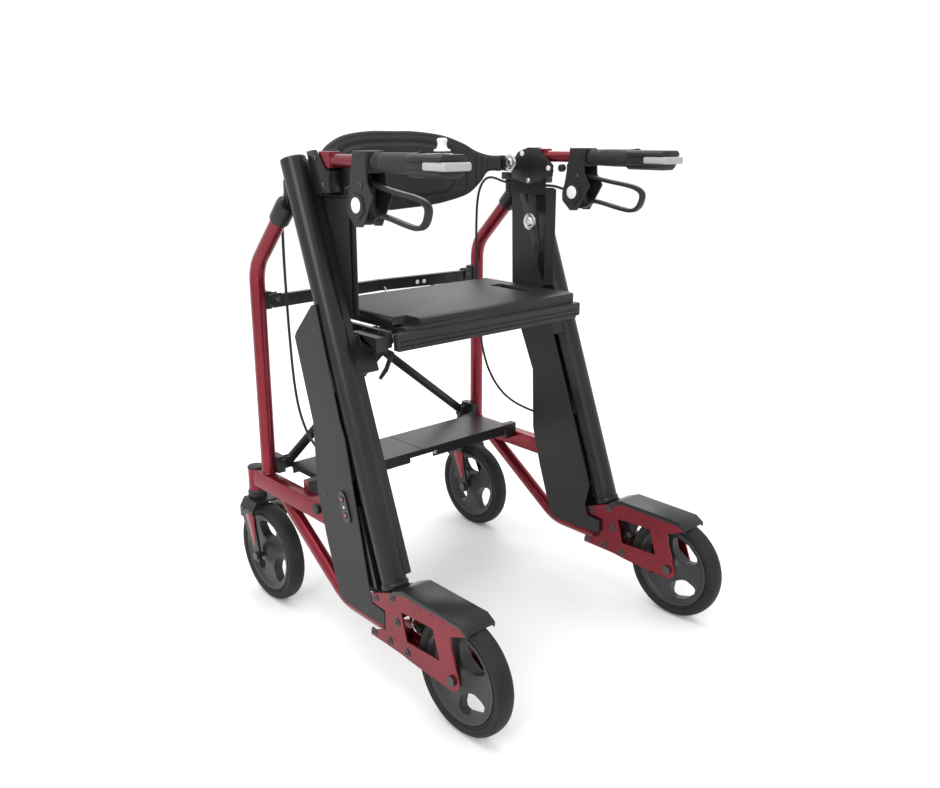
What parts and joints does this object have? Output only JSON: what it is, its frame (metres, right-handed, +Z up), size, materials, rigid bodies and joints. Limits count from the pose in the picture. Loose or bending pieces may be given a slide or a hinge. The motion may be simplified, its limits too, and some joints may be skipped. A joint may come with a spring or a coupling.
{
  "type": "rollator walker",
  "caption": "Four-wheeled walker with a powered lifting seat, folding cross frame, hand brakes, backrest and joystick.",
  "frame": {"origin": "on the floor, midway between the side frames and midway between the rear axle and the casters' axles", "axes": "+Y the way it travels, +X to its right as seen by the person walking behind it, +Z up"},
  "size_m": [0.6228, 0.768, 0.899],
  "materials": {
    "red_paint": "metallic satin red",
    "black_metal": "satin black",
    "charcoal_sheet": "matte charcoal",
    "charcoal_plastic": "fine grained charcoal",
    "seat_plastic": "moulded matte black",
    "tyre_rubber": "matte black",
    "cable_sleeve": "satin black",
    "backrest_foam": "moulded charcoal foam skin",
    "white_plastic": "satin white",
    "bright_steel": "bright turned"
  },
  "bodies": {
    "left_frame": {"column_left": "black_metal", "outer_cover_left": "charcoal_sheet", "inner_cover_left": "charcoal_sheet", "front_tube_left": "red_paint", "lower_tube_left": "red_paint", "cross_member_left": "red_paint", "rear_plate_outer_left": "red_paint", "rear_plate_inner_left": "red_paint", "fender_left": "black_metal", "rear_axle_left": "bright_steel", "top_bracket_left": "black_metal", "handle_bar_left": "red_paint", "grip_left": "charcoal_plastic", "brake_housing_left": "charcoal_plastic", "brake_cable_left": "cable_sleeve", "control_panel": "charcoal_plastic", "battery_pack": "charcoal_plastic", "backrest": "backrest_foam"},
    "right_frame": {"column_right": "black_metal", "outer_cover_right": "charcoal_sheet", "inner_cover_right": "charcoal_sheet", "front_tube_right": "red_paint", "lower_tube_right": "red_paint", "cross_member_right": "red_paint", "rear_plate_outer_right": "red_paint", "rear_plate_inner_right": "red_paint", "fender_right": "black_metal", "rear_axle_right": "bright_steel", "top_bracket_right": "black_metal", "handle_bar_right": "red_paint", "grip_right": "charcoal_plastic", "brake_housing_right": "charcoal_plastic", "brake_cable_right": "cable_sleeve", "lift_motor": "bright_steel"},
    "strut_half_left": {"strut_left": "black_metal"},
    "cross_bar_left": {"x_bar_left": "black_metal"},
    "plate_half_left": {"footplate_left": "black_metal"},
    "lift_slide_left": {"carriage_left": "black_metal"},
    "rear_wheel_left": {"rear_tyre_left": "tyre_rubber", "rear_hub_left": "charcoal_plastic"},
    "caster_left": {"caster_fork_left": "black_metal", "caster_axle_left": "bright_steel"},
    "caster_wheel_left": {"caster_tyre_left": "tyre_rubber", "caster_hub_left": "charcoal_plastic"},
    "brake_lever_left": {"brake_lever_left": "charcoal_plastic"},
    "strut_half_right": {"strut_right": "black_metal"},
    "cross_bar_right": {"x_bar_right": "black_metal"},
    "plate_half_right": {"footplate_right": "black_metal"},
    "lift_slide_right": {"carriage_right": "black_metal"},
    "rear_wheel_right": {"rear_tyre_right": "tyre_rubber", "rear_hub_right": "charcoal_plastic"},
    "caster_right": {"caster_fork_right": "black_metal", "caster_axle_right": "bright_steel"},
    "caster_wheel_right": {"caster_tyre_right": "tyre_rubber", "caster_hub_right": "charcoal_plastic"},
    "brake_lever_right": {"brake_lever_right": "charcoal_plastic"},
    "seat": {"seat": "seat_plastic"},
    "joystick": {"joystick": "white_plastic"},
    "up_button": {"up_button": "charcoal_plastic"},
    "down_button": {"down_button": "charcoal_plastic"}
  },
  "joints": [
    {"name": "fold", "type": "hinge", "parent": "left_frame", "child": "strut_half_left", "pos_m": [-0.236, 0.287, 0.6], "axis": [0, -1, 0], "range_deg": [0, 68], "deforming": ["backrest"]},
    {"name": "strut_middle", "type": "hinge", "parent": "strut_half_left", "child": "strut_half_right", "pos_m": [0, 0.287, 0.58763], "axis": [0, -1, 0], "range_deg": [-137, 1]},
    {"name": "strut_end", "type": "hinge", "parent": "strut_half_right", "child": "right_frame", "pos_m": [0.236, 0.287, 0.6], "axis": [0, -1, 0], "range_deg": [-1, 69]},
    {"name": "plate_left", "type": "hinge", "parent": "left_frame", "child": "plate_half_left", "pos_m": [-0.236, 0.207, 0.283], "axis": [0, -1, 0], "range_deg": [-1, 69]},
    {"name": "plate_right", "type": "hinge", "parent": "right_frame", "child": "plate_half_right", "pos_m": [0.236, 0.207, 0.283], "axis": [0, -1, 0], "range_deg": [-69, 1]},
    {"name": "cross_left", "type": "hinge", "parent": "left_frame", "child": "cross_bar_left", "pos_m": [-0.236, 0.2725, 0.284], "axis": [0, -1, 0], "range_deg": [-1, 33]},
    {"name": "cross_right", "type": "hinge", "parent": "right_frame", "child": "cross_bar_right", "pos_m": [0.236, 0.3015, 0.284], "axis": [0, -1, 0], "range_deg": [-33, 1]},
    {"name": "lift_left", "type": "slide", "parent": "left_frame", "child": "lift_slide_left", "axis": [0, 0.3502, 0.9367], "range_m": [-0.33, 0]},
    {"name": "lift_right", "type": "slide", "parent": "right_frame", "child": "lift_slide_right", "axis": [0, 0.3502, 0.9367], "range_m": [-0.331, 0.001]},
    {"name": "seat_flip", "type": "hinge", "parent": "lift_slide_left", "child": "seat", "pos_m": [-0.195, 0.0145, 0.573], "axis": [0, -1, 0], "range_deg": [-1, 91]},
    {"name": "swivel_left", "type": "hinge", "parent": "left_frame", "child": "caster_left", "pos_m": [-0.2736, 0.334, 0.2145], "axis": [0, 0, 1], "continuous": true},
    {"name": "caster_roll_left", "type": "hinge", "parent": "caster_left", "child": "caster_wheel_left", "pos_m": [-0.2711, 0.2915, 0.0975], "axis": [1, 0, 0], "continuous": true},
    {"name": "rear_roll_left", "type": "hinge", "parent": "left_frame", "child": "rear_wheel_left", "pos_m": [-0.2711, -0.2815, 0.0975], "axis": [1, 0, 0], "continuous": true},
    {"name": "brake_left", "type": "hinge", "parent": "left_frame", "child": "brake_lever_left", "pos_m": [-0.246, -0.037, 0.819], "axis": [-1, 0, 0], "range_deg": [-12, 9], "stiffness_Nm_per_rad": 1.2},
    {"name": "swivel_right", "type": "hinge", "parent": "right_frame", "child": "caster_right", "pos_m": [0.2736, 0.334, 0.2145], "axis": [0, 0, 1], "continuous": true},
    {"name": "caster_roll_right", "type": "hinge", "parent": "caster_right", "child": "caster_wheel_right", "pos_m": [0.2711, 0.2915, 0.0975], "axis": [1, 0, 0], "continuous": true},
    {"name": "rear_roll_right", "type": "hinge", "parent": "right_frame", "child": "rear_wheel_right", "pos_m": [0.2711, -0.2815, 0.0975], "axis": [1, 0, 0], "continuous": true},
    {"name": "brake_right", "type": "hinge", "parent": "right_frame", "child": "brake_lever_right", "pos_m": [0.246, -0.037, 0.819], "axis": [-1, 0, 0], "range_deg": [-12, 9], "stiffness_Nm_per_rad": 1.2},
    {"name": "joystick_tilt", "type": "hinge", "parent": "left_frame", "child": "joystick", "pos_m": [-0.246, -0.205, 0.8683], "axis": [1, 0, 0], "range_deg": [-12, 12], "stiffness_Nm_per_rad": 0.05},
    {"name": "up_press", "type": "slide", "parent": "left_frame", "child": "up_button", "axis": [1, 0, 0], "range_m": [0, 0.0014], "stiffness_N_per_m": 400},
    {"name": "down_press", "type": "slide", "parent": "left_frame", "child": "down_button", "axis": [1, 0, 0], "range_m": [0, 0.0014], "stiffness_N_per_m": 400}
  ],
  "couplings": [
    {"joint": "strut_middle", "follows": "fold", "ratio": -2},
    {"joint": "strut_end", "follows": "fold", "ratio": 1},
    {"joint": "plate_left", "follows": "fold", "ratio": 1},
    {"joint": "plate_right", "follows": "fold", "ratio": -1},
    {"joint": "cross_left", "follows": "fold", "ratio": 0.465},
    {"joint": "cross_right", "follows": "fold", "ratio": -0.465},
    {"joint": "seat_flip", "follows": "fold", "ratio": 1.3235},
    {"joint": "lift_right", "follows": "lift_left", "ratio": 1}
  ]
}
